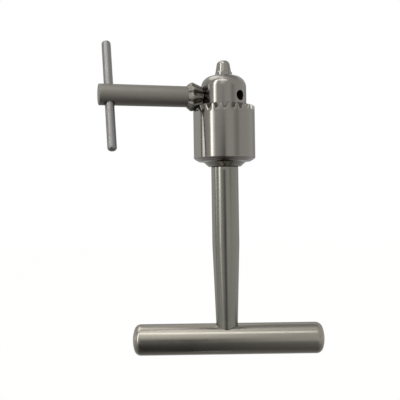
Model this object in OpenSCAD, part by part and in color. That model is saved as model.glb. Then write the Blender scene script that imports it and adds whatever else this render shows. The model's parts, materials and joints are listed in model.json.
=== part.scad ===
// T-handle hand drill: a keyed three-jaw chuck screwed onto a tapering stem that stands on a
// cross bar, with the chuck's key in one of its three key holes.
// The origin is on the spindle axis at the tips of the closed jaws. +Z runs along the spindle
// from the cross bar to the chuck's nose, and +X along the cross bar.

/* [Chuck body] */
// Diameter of the body above the sleeve
body_d = 22.2; // [21.6:0.1:22.8]
// Depth of the nose face below the jaw tips
nose_drop = 7.7; // [7:0.1:8.5]
// Radius of the rounded shoulder
shoulder_r = 5.6; // [4.5:0.1:6.5]
// Diameter of the bore along the spindle, for the shank of a bit
core_d = 6.6; // [5.8:0.1:6.8]
// Largest radius of the boss at the body's back
boss_r = 10.2; // [9.6:0.1:11]
// Smallest radius of the boss at the body's back
boss_end_r = 7.9; // [7.2:0.1:8.4]
// Bevel on the boss's upper edge
boss_bevel = 0.35; // [0.2:0.05:0.5]
// Slope of the chamfer under the sleeve and the body
back_slope = 34; // [30:1:38]
// Radius where that chamfer ends
back_chamfer_r = 12.8; // [12.2:0.1:13.2]
// Slope of the face between that chamfer and the boss
back_face_slope = 9; // [6:1:12]

/* [Jaws] */
// Diameter of the round rods that the jaws are made of
jaw_d = 6.2; // [6:0.05:6.3]
// Lean of the jaws towards the spindle axis, in degrees
jaw_lean = 15; // [14.6:0.1:15.4]
// How far past the spindle axis the rods' axes are where they reach the tips
jaw_overshoot = 0.41; // [0.3:0.01:0.5]
// Length of a jaw along its own axis
jaw_len = 32.4; // [31.6:0.1:33]
// Smallest bit that the closed jaws hold
bit_min_d = 0.8; // [0.6:0.05:1]
// Gap between neighbouring jaws when they are closed
jaw_gap = 0.2; // [0.15:0.01:0.3]
// Radius of the ground point where it meets the rounding of the tip
point_r = 3.3; // [3:0.05:3.4]
// Rounding of the tip
point_round = 2.4; // [1.6:0.1:2.6]
// Radius at the foot of the ground point
point_foot_r = 3.8; // [3.6:0.02:4]
// Radius of the collar that is left between the ground point and the body
collar_r = 4.28; // [4.1:0.02:4.4]
// Depth of the collar below the tips
collar_drop = 5.5; // [5.2:0.1:6.4]
// Length of the collar inside the body
collar_cover = 1.1; // [0.8:0.1:1.4]
// Gap between the sleeve and the back of an opened jaw
open_jaw_gap = 0.2; // [0.1:0.05:0.4]

/* [Thread] */
// Rise of the thread in one turn, which is how far a jaw moves
thread_lead = 1.8; // [1.7:0.05:1.9]
// Turns of the sleeve from closed to open
sleeve_turns = 6; // [5.6:0.1:6.2]
// Side of the square bar whose corner cuts the thread's grooves
thread_cut = 1.1; // [0.9:0.05:1.2]
// Where the thread starts, measured along a jaw from its tip
thread_start = 17.5; // [16.5:0.1:18.5]
// Share of the nut's thread that its grooves take up
groove_share = 0.8; // [0.7:0.05:0.9]

/* [Sleeve] */
// Outer diameter of the sleeve
sleeve_d = 30.2; // [29.8:0.1:31]
// Depth of the sleeve's lower edge below the jaw tips
sleeve_foot_drop = 48.1; // [47.5:0.1:49]
// Bevel on the rim, outside the teeth
rim_bevel = 0.5; // [0.2:0.05:0.8]
// Depth of the split nut's top face below the jaw tips
nut_drop = 26.7; // [26.4:0.05:27]
// Height of the split nut
nut_h = 5.4; // [5:0.1:5.8]
// Outer diameter of the split nut, which is pressed into the sleeve
nut_d = 27.8; // [27.6:0.05:28]

/* [Bevel teeth] */
// Teeth on the sleeve
ring_teeth = 24; // [24:1:24]
// Teeth on the key
pinion_teeth = 9; // [9:1:9]
// Slope of the cone over the sleeve's teeth
ring_tip_slope = 17; // [17:0.25:18]
// Slope of the cone under the sleeve's teeth
ring_root_slope = 25; // [24.5:0.25:26]
// Lean of the sides of the sleeve's teeth
ring_flank = 26; // [24:1:28]
// Half the width of a space in the sleeve's rim, in degrees round the spindle
ring_space = 4.2; // [4.1:0.05:4.4]
// Slope of the cone over the key's teeth
pinion_tip_slope = 23.2; // [22.4:0.1:23.4]
// Slope of the cone under the key's teeth
pinion_root_slope = 15; // [14.5:0.25:15.5]
// Pressure angle of the key's teeth
pinion_pressure = 20; // [18:1:24]
// What each side of a key tooth is thinned by, in degrees round the key
pinion_backlash = 1.2; // [1:0.05:1.5]

/* [Key] */
// Depth of the key holes' axes below the jaw tips
key_drop = 18.2; // [18:0.1:18.8]
// Direction of the key as seen from the nose, in degrees
key_angle = -165; // [-180:1:-150]
// Diameter of the key's pilot
pilot_d = 4.7; // [4.3:0.05:5.2]
// Depth of the key holes, from the body's surface
key_hole_depth = 5.5; // [5:0.1:5.6]
// Chamfer on the mouths of the key holes
key_hole_bevel = 0.3; // [0.2:0.05:0.5]
// Chamfer on the pilot's tip
pilot_bevel = 0.4; // [0.3:0.05:0.8]
// Diameter of the stretch of the pilot inside the pinion
journal_d = 3.4; // [3:0.1:3.8]
// Length of the stretch of the pilot inside the pinion
journal_len = 3.9; // [3.4:0.1:4.2]
// Length of the pinion along the key
pinion_len = 7.6; // [7.2:0.1:8]
// Largest radius of the pinion
pinion_max_r = 7.1; // [6.9:0.05:7.3]
// Least length of the slope behind the pinion's largest radius
pinion_heel_len = 2.1; // [1.8:0.1:2.6]
// Diameter of the shank
shank_d = 10.1; // [9.6:0.1:10.6]
// Distance from the spindle axis to the shank's far end
shank_reach = 61.3; // [58:0.1:70]
// Diameter of the spigot that holds the shank in the pinion
shank_spigot_d = 6.4; // [5.8:0.1:6.8]
// Length of the spigot that holds the shank in the pinion
shank_spigot_len = 3; // [2.6:0.1:3.1]
// Chamfer on the shank's far end
shank_bevel = 0.4; // [0.2:0.1:0.8]
// Diameter of the tommy bar across the shank
tommy_d = 4.4; // [4:0.1:5]
// Length of the tommy bar
tommy_len = 56.8; // [46:0.2:60]
// Distance of the tommy bar from the shank's far end
tommy_inset = 5; // [4.2:0.1:8]
// Turn of the tommy bar about the key, which brings its lower end to the front
tommy_turn = 18; // [0:1:180]
// Depth of the flare at both mouths of the tommy bar's hole
tommy_flare = 0.9; // [0.3:0.1:1.2]
// Rounding of the tommy bar's ends
tommy_round = 1.5; // [0.8:0.1:1.9]

/* [Stem] */
// Diameter of the stem
stem_d = 13.3; // [12.8:0.1:14]
// Depth of the stem's shoulder below the jaw tips
shoulder_drop = 52.1; // [51.6:0.1:53]
// Diameter of the screwed end of the stem
spigot_d = 9.5; // [8.5:0.1:10]
// Length of the screwed end of the stem
spigot_len = 12.3; // [10:0.1:12.4]
// Depth below the jaw tips where the six flats begin
flats_drop = 90; // [80:1:100]
// Width of the stem across its flats where it stands on the cross bar
foot_width = 10.6; // [10:0.1:11.6]

/* [Cross bar] */
// Diameter of the cross bar
bar_d = 15.2; // [14.4:0.1:17]
// Length of the cross bar
bar_len = 94; // [80:0.5:120]
// Depth of the cross bar's axis below the jaw tips
bar_drop = 136.7; // [125:0.1:150]
// How far the cross bar stands off centre, towards +X
bar_shift = 0.6; // [-2:0.1:2]
// Radius of the crowned ends
crown_r = 16; // [14:0.5:30]
// Radius that joins the crown to the bar's side
crown_edge_r = 3.4; // [2:0.1:4]
// Diameter of the stem's tenon in the cross bar
tenon_d = 8; // [6:0.1:9]
// Depth of the tenon's hole in the cross bar
tenon_depth = 10; // [7:0.1:12]

/* [Fits] */
// Radial clearance of a jaw in its hole
jaw_fit = 0.05; // [0.03:0.01:0.08]
// Radial clearance of the sleeve on the body
sleeve_fit = 0.08; // [0.05:0.01:0.1]
// Clearance above and below the split nut
nut_fit = 0.1; // [0.05:0.01:0.15]
// Clearance between the crests of the nut and of the jaws
crest_fit = 0.06; // [0.04:0.01:0.1]
// Clearance between the split nut and the body's neck, at the nut's top
neck_gap = 0.6; // [0.4:0.05:0.7]
// Radial clearance of the pilot in a key hole and in the pinion
pilot_fit = 0.05; // [0.03:0.01:0.08]
// Gap between the pilot's tip and the floor of its key hole
pilot_end_gap = 0.4; // [0.2:0.05:0.6]
// Gap past the pilot's end in the pinion
journal_end_gap = 0.2; // [0.1:0.05:0.3]
// Clearance of the pinion from the body
pinion_gap = 0.3; // [0.2:0.05:0.4]

/* [Hidden] */
$fn = 96;

jaws = 3;
body_r = body_d / 2;
sleeve_r = sleeve_d / 2;
nut_r = nut_d / 2;
stem_r = stem_d / 2;
bar_r = bar_d / 2;
key_z = -key_drop;
shoulder_z = -shoulder_drop;
bar_z = -bar_drop;
// longer than any piece, for cuts that run right through
through = 200;
// a little more than nothing, so that a cut breaks its surface
nick = 0.5;

jaw_travel = thread_lead * sleeve_turns;
jaw_hole_r = jaw_d / 2 + jaw_fit;
jaw_angles = [for (k = [0:jaws - 1]) key_angle + 180 / jaws + k * 360 / jaws];
key_angles = [for (k = [0:jaws - 1]) key_angle + k * 360 / jaws];

// distance of a jaw's axis from the spindle axis at height z
function jaw_axis_r(z) = -jaw_overshoot - z * tan(jaw_lean);
// radius of the cone that the nut's crests lie on, at height z
function nut_bore_r(z) = jaw_axis_r(z) + (jaw_d / 2 + crest_fit) / cos(jaw_lean);
// height of the cone of a given slope through the point where the key meets the spindle
function ring_cone_z(r, slope) = key_z - r * tan(slope);
// height of the chamfer under the sleeve and the body at radius r
function back_z(r) = -sleeve_foot_drop - (sleeve_r - r) * tan(back_slope);
// height of the face inside that chamfer at radius r
function back_face_z(r) = back_z(back_chamfer_r) - (back_chamfer_r - r) * tan(back_face_slope);

nut_top_z = -nut_drop;
nut_foot_z = nut_top_z - nut_h;
neck_r = nut_bore_r(nut_top_z) - neck_gap;
flange_r = nut_r - sleeve_fit;

pinion_front = body_r + pinion_gap;
pinion_back = pinion_front + pinion_len;
pinion_pitch_slope = atan(pinion_teeth / ring_teeth);

// places its children on the key's axis, s from the spindle, with their +Z pointing outwards
// and their +X pointing down
module on_key(s = 0) {
    translate([0, 0, key_z])
        rotate([0, 0, key_angle])
            translate([s, 0, 0])
                rotate([0, 90, 0])
                    children();
}

// a round rod on the axis of the jaw that leans over +X, from the tips down to a given length
module jaw_rod(r, from, to) {
    translate([-jaw_overshoot, 0, 0])
        rotate([0, -jaw_lean, 0])
            translate([0, 0, -to])
                cylinder(h = to - from, r = r);
}

module chuck_body_outline() {
    rounding_z = -nose_drop - shoulder_r;
    groove_top_z = nut_top_z + nut_fit;
    groove_foot_z = nut_foot_z - nut_fit;
    polygon([
        [0, -nose_drop],
        [body_r - shoulder_r, -nose_drop],
        [body_r - shoulder_r, rounding_z],
        [body_r, rounding_z],
        [body_r, groove_top_z],
        [neck_r, groove_top_z],
        [neck_r, groove_foot_z],
        [flange_r, groove_foot_z],
        [flange_r, back_z(flange_r)],
        [back_chamfer_r, back_z(back_chamfer_r)],
        [boss_r, back_face_z(boss_r)],
        [boss_r - boss_bevel, back_face_z(boss_r) - boss_bevel],
        [boss_end_r, shoulder_z],
        [0, shoulder_z]
    ]);
}

// the rounding of the shoulder, and what lies under it
module shoulder_outline() {
    rounding_z = -nose_drop - shoulder_r;
    intersection() {
        translate([body_r - shoulder_r, rounding_z])
            circle(r = shoulder_r);
        translate([body_r - shoulder_r - nick, rounding_z])
            square([body_r, shoulder_r]);
    }
}

module key_hole() {
    hole_r = pilot_d / 2 + pilot_fit;
    translate([0, 0, key_z])
        rotate([0, 90, 0]) {
            translate([0, 0, body_r - key_hole_depth])
                cylinder(h = key_hole_depth + nick, r = hole_r);
            translate([0, 0, body_r - key_hole_bevel])
                cylinder(h = 2 * key_hole_bevel, r1 = hole_r, r2 = hole_r + 2 * key_hole_bevel);
        }
}

module chuck_body() {
    jaw_hole_end = jaw_len + jaw_travel + nick;
    color("silver")
        difference() {
            union() {
                rotate_extrude()
                    chuck_body_outline();
                rotate_extrude()
                    shoulder_outline();
            }
            translate([0, 0, shoulder_z - nick])
                cylinder(h = through, d = core_d);
            translate([0, 0, shoulder_z - nick])
                cylinder(h = spigot_len + nick, d = spigot_d);
            for (a = jaw_angles)
                rotate([0, 0, a])
                    jaw_rod(jaw_hole_r, 0, jaw_hole_end);
            for (a = key_angles)
                rotate([0, 0, a])
                    key_hole();
        }
}

// one space between two teeth of the sleeve's rim, over +X: its floor and both its sides lie on
// planes through the point where the key's axis meets the spindle
module ring_space_cutter() {
    reach = sleeve_d;
    side_turn = ring_space * cos(pinion_pitch_slope);
    translate([0, 0, key_z])
        intersection() {
            rotate([0, ring_root_slope, 0])
                translate([0, -reach / 2, 0])
                    cube([reach, reach, reach]);
            rotate([0, pinion_pitch_slope, 0])
                rotate([0, 0, side_turn])
                    rotate([-ring_flank, 0, 0])
                        translate([0, -reach, -reach / 2])
                            cube([reach, reach, reach]);
            rotate([0, pinion_pitch_slope, 0])
                rotate([0, 0, -side_turn])
                    rotate([ring_flank, 0, 0])
                        translate([0, 0, -reach / 2])
                            cube([reach, reach, reach]);
        }
}

module chuck_sleeve() {
    web_r = body_r + sleeve_fit;
    bevel_r = sleeve_r - rim_bevel;
    color("silver")
        difference() {
            rotate_extrude()
                polygon([
                    [web_r, ring_cone_z(web_r, ring_tip_slope)],
                    [bevel_r, ring_cone_z(bevel_r, ring_tip_slope)],
                    [sleeve_r, ring_cone_z(sleeve_r, ring_tip_slope) - rim_bevel],
                    [sleeve_r, -sleeve_foot_drop],
                    [nut_r, back_z(nut_r)],
                    [nut_r, nut_top_z],
                    [web_r, nut_top_z]
                ]);
            for (k = [0:ring_teeth - 1])
                rotate([0, 0, key_angle + k * 360 / ring_teeth])
                    ring_space_cutter();
        }
}

// the split nut's ring: a cone inside, as steep as the jaws, with a thread cut into it
module nut_ring() {
    pitch_z = thread_lead * cos(jaw_lean);
    depth = thread_cut * sqrt(0.5);
    grooves = floor(nut_h / pitch_z);
    first_z = nut_top_z - (nut_h - grooves * pitch_z) / 2;
    rotate_extrude()
        polygon([
            [nut_r, nut_foot_z],
            [nut_r, nut_top_z],
            [nut_bore_r(nut_top_z), nut_top_z],
            for (k = [0:grooves - 1], side = [0, 1, 2])
                let (z = first_z - (k + (1 - groove_share) / 2 + side * groove_share / 2) * pitch_z)
                    [nut_bore_r(z) + (side == 1 ? depth : 0), z],
            [nut_bore_r(nut_foot_z), nut_foot_z]
        ]);
}

module nut_half(side) {
    color("darkgray")
        intersection() {
            nut_ring();
            translate([-sleeve_r, side < 0 ? -sleeve_r : 0, nut_foot_z - nick])
                cube([sleeve_d, sleeve_r, nut_h + 2 * nick]);
        }
}

// everything inside the ground point, the collar and, past the nose, the jaw's whole rod
module jaw_envelope_outline() {
    collar_foot = nose_drop + collar_cover;
    polygon([
        [0, 0],
        for (a = [0:15:90])
            [point_r - point_round * (1 - sin(a)), -point_round * (1 - cos(a))],
        [point_foot_r, -collar_drop],
        [collar_r, -collar_drop - (collar_r - point_foot_r)],
        [collar_r, -collar_foot],
        [sleeve_r, -collar_foot],
        [sleeve_r, -through],
        [0, -through]
    ]);
}

module jaw(angle) {
    half_gap_shift = jaw_gap / 2 / sin(180 / jaws);
    back_r = nut_r - open_jaw_gap - jaw_travel * sin(jaw_lean);
    groove_count = floor((jaw_len - thread_start) / thread_lead);
    wedge = sleeve_d;
    color("lightgray")
        rotate([0, 0, angle])
            difference() {
                intersection() {
                    jaw_rod(jaw_d / 2, -nick, jaw_len);
                    rotate_extrude()
                        jaw_envelope_outline();
                    translate([half_gap_shift, 0, -through])
                        linear_extrude(height = through)
                            polygon([
                                [0, 0],
                                [wedge * cos(180 / jaws), -wedge * sin(180 / jaws)],
                                [wedge * cos(180 / jaws), wedge * sin(180 / jaws)]
                            ]);
                    translate([0, 0, -through])
                        cylinder(h = through, r = back_r);
                }
                translate([0, 0, -through])
                    cylinder(h = through + nick, d = bit_min_d);
                for (k = [0:groove_count])
                    translate([-jaw_overshoot, 0, 0])
                        rotate([0, -jaw_lean, 0])
                            translate([jaw_d / 2, 0, -thread_start - k * thread_lead])
                                rotate([0, 45, 0])
                                    cube([thread_cut, jaw_d, thread_cut], center = true);
            }
}

module jaw_a() { jaw(jaw_angles[0]); }
module jaw_b() { jaw(jaw_angles[1]); }
module jaw_c() { jaw(jaw_angles[2]); }

// roll angle of an involute, in degrees
function involute(a) = tan(a) * 180 / PI - a;
// half the angle of a key tooth at slope t, which is its radius over its distance
function tooth_half_angle(t) =
    let (base = tan(pinion_pitch_slope) * cos(pinion_pressure))
    let (at_base = 90 / pinion_teeth - pinion_backlash + involute(pinion_pressure))
    t <= base ? at_base : at_base - involute(acos(base / t));

// the key's teeth in a plane square to the key, s from the spindle
module pinion_outline(s) {
    flank_steps = 6;
    low = tan(pinion_root_slope);
    high = tan(pinion_tip_slope);
    slopes = [for (i = [0:flank_steps]) low + (high - low) * i / flank_steps];
    polygon([
        for (k = [0:pinion_teeth - 1], side = [-1, 1], i = [0:flank_steps])
            let (t = slopes[side < 0 ? i : flank_steps - i])
            let (a = k * 360 / pinion_teeth + side * tooth_half_angle(t))
                [s * t * cos(a), s * t * sin(a)]
    ]);
}

module key_pinion() {
    front_r = pinion_front * tan(pinion_tip_slope);
    crest_s = pinion_max_r / tan(pinion_tip_slope);
    tip_s = min(crest_s, pinion_back - pinion_heel_len);
    color("gray")
        difference() {
            intersection() {
                on_key()
                    rotate_extrude()
                        polygon([
                            [0, pinion_front],
                            [front_r, pinion_front],
                            [tip_s * tan(pinion_tip_slope), tip_s],
                            [shank_d / 2, pinion_back],
                            [0, pinion_back]
                        ]);
                on_key(pinion_front)
                    linear_extrude(height = pinion_len, scale = pinion_back / pinion_front)
                        pinion_outline(pinion_front);
            }
            on_key(pinion_front - nick)
                cylinder(h = journal_len + journal_end_gap + nick, r = journal_d / 2 + pilot_fit);
            on_key(pinion_back - shank_spigot_len)
                cylinder(h = shank_spigot_len + nick, d = shank_spigot_d);
        }
}

module key_pilot() {
    tip_s = body_r - key_hole_depth + pilot_end_gap;
    collar_s = pinion_front - pilot_fit;
    color("gray")
        on_key()
            rotate_extrude()
                polygon([
                    [0, tip_s],
                    [pilot_d / 2 - pilot_bevel, tip_s],
                    [pilot_d / 2, tip_s + pilot_bevel],
                    [pilot_d / 2, collar_s],
                    [journal_d / 2, collar_s],
                    [journal_d / 2, pinion_front + journal_len],
                    [0, pinion_front + journal_len]
                ]);
}

module key_shank() {
    color("dimgray")
        difference() {
            union() {
                on_key(pinion_back)
                    cylinder(h = shank_reach - pinion_back - shank_bevel, d = shank_d);
                on_key(shank_reach - shank_bevel)
                    cylinder(h = shank_bevel, d1 = shank_d, d2 = shank_d - 2 * shank_bevel);
                on_key(pinion_back - shank_spigot_len)
                    cylinder(h = shank_spigot_len, d = shank_spigot_d);
            }
            on_key(shank_reach - tommy_inset)
                for (turn = [0, 180])
                    rotate([0, 90, tommy_turn + turn]) {
                        cylinder(h = shank_d, d = tommy_d);
                        translate([0, 0, shank_d / 2 - tommy_flare])
                            cylinder(h = tommy_d, r1 = tommy_d / 2, r2 = tommy_d * 1.5);
                    }
        }
}

// the tommy bar's outline, from its middle to its rounded end
module tommy_outline() {
    round_z = tommy_len / 2 - tommy_round;
    flat_r = tommy_d / 2 - tommy_round;
    square([tommy_d / 2, round_z]);
    square([flat_r, tommy_len / 2]);
    intersection() {
        translate([flat_r, round_z])
            circle(r = tommy_round);
        square([tommy_d, tommy_len]);
    }
}

module key_bar() {
    color("dimgray")
        on_key(shank_reach - tommy_inset)
            for (turn = [0, 180])
                rotate([0, 90, tommy_turn + turn])
                    rotate_extrude()
                        tommy_outline();
}

module stem() {
    bar_top_z = bar_z + bar_r;
    flats_z = -flats_drop;
    taper = atan((stem_d - foot_width) / 2 / (flats_z - bar_top_z));
    color("silver")
        union() {
            difference() {
                translate([0, 0, bar_z])
                    cylinder(h = shoulder_z - bar_z, d = stem_d);
                for (k = [0:5])
                    rotate([0, 0, k * 60])
                        translate([stem_r, 0, flats_z])
                            rotate([0, taper, 0])
                                translate([0, -stem_d, -through])
                                    cube([stem_d, 2 * stem_d, through]);
                translate([bar_shift, 0, bar_z])
                    rotate([0, 90, 0])
                        cylinder(h = bar_len, d = bar_d, center = true);
            }
            translate([0, 0, shoulder_z - nick])
                cylinder(h = spigot_len + nick, d = spigot_d);
            translate([0, 0, bar_top_z - tenon_depth])
                cylinder(h = tenon_depth + nick, d = tenon_d);
        }
}

// the cross bar's outline, from its middle to its crowned end
module bar_outline() {
    edge_r = bar_r - crown_edge_r;
    crown_y = bar_len / 2 - crown_r;
    edge_y = crown_y + sqrt(pow(crown_r - crown_edge_r, 2) - edge_r * edge_r);
    meet = asin(edge_r / (crown_r - crown_edge_r));
    meet_r = crown_r * sin(meet);
    meet_y = crown_y + crown_r * cos(meet);
    square([bar_r, edge_y]);
    translate([edge_r, edge_y])
        circle(r = crown_edge_r);
    intersection() {
        translate([0, crown_y])
            circle(r = crown_r);
        polygon([[0, 0], [edge_r, 0], [edge_r, edge_y], [meet_r, meet_y], [meet_r, bar_len], [0, bar_len]]);
    }
}

module t_bar() {
    color("gray")
        difference() {
            translate([bar_shift, 0, bar_z])
                for (end = [-90, 90])
                    rotate([0, end, 0])
                        rotate_extrude()
                            bar_outline();
            translate([0, 0, bar_z + bar_r - tenon_depth])
                cylinder(h = through, d = tenon_d);
        }
}

module nut_half_front() { nut_half(-1); }
module nut_half_back() { nut_half(1); }

t_bar();
stem();
chuck_body();
chuck_sleeve();
nut_half_front();
nut_half_back();
jaw_a();
jaw_b();
jaw_c();
key_pinion();
key_pilot();
key_shank();
key_bar();
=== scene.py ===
# %% [markdown]
# # A hand drill in polished steel
#
# The tool is a three-jaw chuck on a tapering stem, turned by a round cross bar, with the chuck's
# key standing in one of its key holes. Nearly all of it is turned on a lathe, so this lesson is
# about turned metal: outlines with rounded edges, teeth that repeat, and steel that is polished,
# satin, drawn or blasted.
#
# The construction comes in first as a fixed frame. The main sizes are read from it, so the pieces
# made here fit the moving bodies without any adjusting.

# %% Load the fixed frame
import json
import math

import bmesh
import bpy
from mathutils import Matrix, Vector


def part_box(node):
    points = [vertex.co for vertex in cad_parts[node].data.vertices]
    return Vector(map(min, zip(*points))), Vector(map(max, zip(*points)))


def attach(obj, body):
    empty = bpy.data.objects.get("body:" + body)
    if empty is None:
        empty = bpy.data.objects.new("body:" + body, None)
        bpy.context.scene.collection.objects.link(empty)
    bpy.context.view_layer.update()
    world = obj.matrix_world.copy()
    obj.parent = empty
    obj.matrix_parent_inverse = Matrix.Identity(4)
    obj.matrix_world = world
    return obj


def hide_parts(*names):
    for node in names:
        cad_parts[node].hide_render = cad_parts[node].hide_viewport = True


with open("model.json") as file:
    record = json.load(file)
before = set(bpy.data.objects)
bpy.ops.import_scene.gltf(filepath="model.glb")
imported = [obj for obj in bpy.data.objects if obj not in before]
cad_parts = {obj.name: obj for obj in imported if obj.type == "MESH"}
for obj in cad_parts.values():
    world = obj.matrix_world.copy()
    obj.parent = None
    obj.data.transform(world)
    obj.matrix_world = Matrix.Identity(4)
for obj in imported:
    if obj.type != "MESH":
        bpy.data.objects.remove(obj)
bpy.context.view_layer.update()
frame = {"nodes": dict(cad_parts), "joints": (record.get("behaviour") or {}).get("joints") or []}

MM = 0.001

# %% [markdown]
# ## Sizes from the frame
#
# The origin is at the tips of the closed jaws, on the spindle axis, and the drill stands upright
# below it. A node's box gives its radius and its ends, and a joint gives the axis of the key.
# The few sizes that no box shows are written out where they are first needed.

# %% Read the sizes of the turned pieces
def radius_of(node):
    low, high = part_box(node)
    return (high.y - low.y) / 2


def ends_of(node):
    low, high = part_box(node)
    return low.z, high.z


def joint_named(name):
    return next(j for j in frame["joints"] if j["name"] == name)


SLEEVE_R = radius_of("chuck_sleeve")
SLEEVE_FOOT = ends_of("chuck_sleeve")[0]
FLANGE_R = radius_of("chuck_body")
BODY_FOOT, NOSE_Z = ends_of("chuck_body")
STEM_R = radius_of("stem")
BAR_R = radius_of("t_bar")
BAR_LEFT, BAR_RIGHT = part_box("t_bar")[0].x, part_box("t_bar")[1].x
BAR_X = (BAR_LEFT + BAR_RIGHT) / 2
BAR_Z = sum(ends_of("t_bar")) / 2
BAR_TOP = BAR_Z + BAR_R
KEY_OUT = Vector(joint_named("key_turn")["axis"])
KEY_Z = joint_named("key_turn")["pos_m"][2]
KEY_ANGLE = math.atan2(KEY_OUT.y, KEY_OUT.x)
print(f"sleeve radius {SLEEVE_R / MM:.2f} mm, bar radius {BAR_R / MM:.2f} mm")

# %% [markdown]
# ## The camera
#
# The photograph looks at the drill level, a little from its left, and is turned by about a
# degree. The place and the lens could be guessed by eye, but the chuck shows a little of its
# underside and the cross bar a little of its top, and only one distance gives both. A lens of
# 58.5 mm on a 36 mm sensor, a third of a metre away, does.

# %% Make the camera
CAMERA_AT = Vector((-12.4, -320, -68.3)) * MM
CAMERA_ROLL = math.radians(-0.85)
FOCAL_MM = 58.54
SENSOR_MM = 36

camera_data = bpy.data.cameras.new("photo_camera")
camera_data.lens = FOCAL_MM
camera_data.sensor_width = SENSOR_MM
camera = bpy.data.objects.new("photo_camera", camera_data)
camera.matrix_world = (
    Matrix.Translation(CAMERA_AT)
    @ Matrix.Rotation(math.radians(90), 4, "X")
    @ Matrix.Rotation(CAMERA_ROLL, 4, "Z")
)
bpy.context.scene.collection.objects.link(camera)
bpy.context.scene.camera = camera
bpy.context.scene.view_settings.view_transform = "Standard"
print(f"camera {-CAMERA_AT.y / MM:.0f} mm from the spindle, lens {FOCAL_MM} mm")

# %% [markdown]
# ## Shader helpers
#
# One small function adds a node, sets its plain values and links its inputs. Colours are written
# as sRGB hex, the way a colour picker shows them, and one function turns them to linear.

# %% Helpers for materials
def linear(hex_colour):
    """An sRGB hex colour as linear RGBA."""
    parts = [int(hex_colour[i : i + 2], 16) / 255 for i in (1, 3, 5)]
    lin = [p / 12.92 if p <= 0.04045 else ((p + 0.055) / 1.055) ** 2.4 for p in parts]
    return (*lin, 1.0)


def add_node(tree, kind, settings=None, links=None, **values):
    """Adds a node: settings are its properties, values its plain inputs, links its linked ones."""
    node = tree.nodes.new(kind)
    for name, value in (settings or {}).items():
        setattr(node, name, value)
    for name, value in values.items():
        node.inputs[name.replace("_", " ")].default_value = value
    for name, socket in (links or {}).items():
        tree.links.new(socket, node.inputs[name])
    return node


def new_material(name):
    material = bpy.data.materials.new(name)
    material.use_nodes = True
    material.node_tree.nodes.clear()
    return material, material.node_tree


# the sockets of a Mix node that mixes colours: two go in, one comes out
COLOUR_A, COLOUR_B, MIXED = 6, 7, 2
print(f"mid grey #808080 is {linear('#808080')[0]:.3f} in linear light")

# %% [markdown]
# ## The studio
#
# Polished steel shows its surroundings more than itself, so the studio is half of the finish. It
# has three parts. A white room with a matt white floor gives the pale background and takes the
# shadow. A painted tent round the drill is there for the metal alone, and its panels make the
# stripes. One soft box lights the tops of the pieces.
#
# The background could be made white with strong lamps, but they would bleach the steel as well.
# Here Light Path picks out the rays of the camera, of reflections and through clear glass. Those
# see a plain white, and all other rays see a softer one, which lights the drill at a plain level.

# %% The white room
ROOM_LIGHT = 0.75


def seen_directly(tree):
    """One for a ray from the camera, a reflection or through clear glass, nought for others."""
    path = add_node(tree, "ShaderNodeLightPath")
    seen = path.outputs["Is Camera Ray"]
    for way in ("Is Glossy Ray", "Is Transmission Ray"):
        either = add_node(tree, "ShaderNodeMath", {"operation": "MAXIMUM"},
                          links={0: seen, 1: path.outputs[way]})
        seen = either.outputs[0]
    return seen


def build_world():
    world = bpy.data.worlds.new("white_room")
    bpy.context.scene.world = world
    world.use_nodes = True
    tree = world.node_tree
    tree.nodes.clear()
    soft = add_node(tree, "ShaderNodeBackground", Color=linear("#f4f4f2"), Strength=ROOM_LIGHT)
    white = add_node(tree, "ShaderNodeBackground", Color=(1, 1, 1, 1), Strength=1.0)
    mix = add_node(tree, "ShaderNodeMixShader",
                   links={0: seen_directly(tree), 1: soft.outputs[0], 2: white.outputs[0]})
    add_node(tree, "ShaderNodeOutputWorld", links={"Surface": mix.outputs[0]})
    print(f"{world.name}: {len(tree.nodes)} nodes")


build_world()

# %% The floor
FLOOR_Z = -500 * MM
FLOOR_HALF = 6.0
FLOOR_GLOW = 0.86


def floor_paint():
    """Matt white paint. To the eye most of its white is a glow, which joins the white room."""
    material, tree = new_material("floor_paint")
    matt = add_node(tree, "ShaderNodeBsdfDiffuse", Color=linear("#f2f2f0"))
    glow = add_node(tree, "ShaderNodeEmission", Color=(1, 1, 1, 1), Strength=FLOOR_GLOW)
    # the shadow shows in this grey, which brings the glow up to white where it is lit
    shaded = add_node(tree, "ShaderNodeBsdfDiffuse", Color=linear("#7c7c7b"))
    white = add_node(tree, "ShaderNodeAddShader", links={0: glow.outputs[0], 1: shaded.outputs[0]})
    mix = add_node(tree, "ShaderNodeMixShader",
                   links={0: seen_directly(tree), 1: matt.outputs[0], 2: white.outputs[0]})
    add_node(tree, "ShaderNodeOutputMaterial", links={"Surface": mix.outputs[0]})
    return material


def link_mesh(name, mesh):
    obj = bpy.data.objects.new(name, mesh)
    bpy.context.scene.collection.objects.link(obj)
    return obj


def lay_floor():
    mesh = bpy.data.meshes.new("floor")
    signs = ((-1, -1), (1, -1), (1, 1), (-1, 1))
    corners = [(x * FLOOR_HALF, y * FLOOR_HALF, FLOOR_Z) for x, y in signs]
    mesh.from_pydata(corners, [], [(0, 1, 2, 3)])
    mesh.materials.append(floor_paint())
    floor = link_mesh("floor", mesh)
    print(f"floor: {-FLOOR_Z / MM:.0f} mm below the jaws, {2 * FLOOR_HALF:.0f} m wide")


lay_floor()

# %% [markdown]
# ### The tent's panels
#
# Product photographers hang a tent of white cloth and dark boards round polished metal, and this
# is one. Separate cards would do the same, but each would need its own place and size. One skin
# with a list of panels for each height is easier to match: a panel is an angle round the drill,
# counted from the camera's side with the left below nought, and a brightness.
#
# A cylinder shows the panel at an angle where its own surface faces half of that angle. So each
# stripe that the chuck shows in the photograph gives the place of one panel.

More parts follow.
